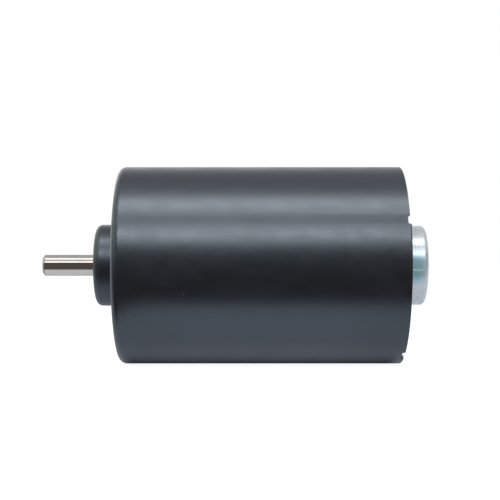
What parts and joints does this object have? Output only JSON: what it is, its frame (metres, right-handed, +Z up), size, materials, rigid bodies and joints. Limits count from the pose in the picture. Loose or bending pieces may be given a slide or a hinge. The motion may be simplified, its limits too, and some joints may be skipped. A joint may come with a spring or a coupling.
{
  "type": "brushless dc motor",
  "caption": "Cylindrical motor: a black drawn can with a round front boss, a plain steel shaft on the axis, and a plated rear cover whose bearing boss stands out of the rim.",
  "frame": {"origin": "centre of the front mounting face, on the motor's axis", "axes": "-X along the axis, out of the shaft end; +X towards the rear cover; +Z up as the motor lies; the lead outlet is on the +Y side"},
  "size_m": [0.0871, 0.045, 0.045],
  "materials": {
    "can_black": "satin black coating on drawn steel",
    "zinc_plate": "bright zinc plating with a blue cast",
    "bearing_steel": "ground",
    "cage_brass": "stamped",
    "ball_steel": "polished",
    "shaft_steel": "ground bright",
    "spring_steel": "oiled",
    "lamination_steel": "stamped sheet stack",
    "insulator_plastic": "moulded",
    "copper_wire": "enamelled",
    "board_green": "solder mask",
    "sensor_black": "moulded",
    "terminal_tin": "tinned",
    "brass_ring": "turned",
    "magnet_dark": "coated sintered magnet",
    "rubber_black": "moulded"
  },
  "bodies": {
    "housing": {"housing_can": "can_black", "rear_cover": "zinc_plate", "lead_grommet": "rubber_black", "front_bearing_outer_ring": "bearing_steel", "front_bearing_shields": "bearing_steel", "rear_bearing_outer_ring": "bearing_steel", "rear_bearing_shields": "bearing_steel", "spring_washer": "spring_steel", "stator_core": "lamination_steel", "front_insulator": "insulator_plastic", "rear_insulator": "insulator_plastic", "winding_u": "copper_wire", "winding_v": "copper_wire", "winding_w": "copper_wire", "hall_board": "board_green", "hall_sensors": "sensor_black", "board_screws": "spring_steel", "phase_terminals": "terminal_tin"},
    "rotor": {"shaft": "shaft_steel", "retaining_clip": "spring_steel", "front_spacer": "shaft_steel", "rear_spacer": "shaft_steel", "rotor_core": "lamination_steel", "rotor_magnets": "magnet_dark", "magnet_sleeve": "shaft_steel", "front_balance_ring": "brass_ring", "rear_balance_ring": "brass_ring", "sensor_magnet": "magnet_dark", "front_bearing_inner_ring": "bearing_steel", "rear_bearing_inner_ring": "bearing_steel"},
    "front_cage": {"front_bearing_cage": "cage_brass", "front_bearing_balls": "ball_steel"},
    "rear_cage": {"rear_bearing_cage": "cage_brass", "rear_bearing_balls": "ball_steel"}
  },
  "joints": [
    {"name": "rotor_spin", "type": "hinge", "parent": "housing", "child": "rotor", "pos_m": [0, 0, 0], "axis": [-1, 0, 0], "continuous": true},
    {"name": "front_cage_orbit", "type": "hinge", "parent": "housing", "child": "front_cage", "pos_m": [-0.0016, 0, 0], "axis": [-1, 0, 0], "continuous": true},
    {"name": "rear_cage_orbit", "type": "hinge", "parent": "housing", "child": "rear_cage", "pos_m": [0.0654, 0, 0], "axis": [-1, 0, 0], "continuous": true}
  ],
  "couplings": [
    {"joint": "front_cage_orbit", "follows": "rotor_spin", "ratio": 0.38662},
    {"joint": "rear_cage_orbit", "follows": "rotor_spin", "ratio": 0.38662}
  ]
}
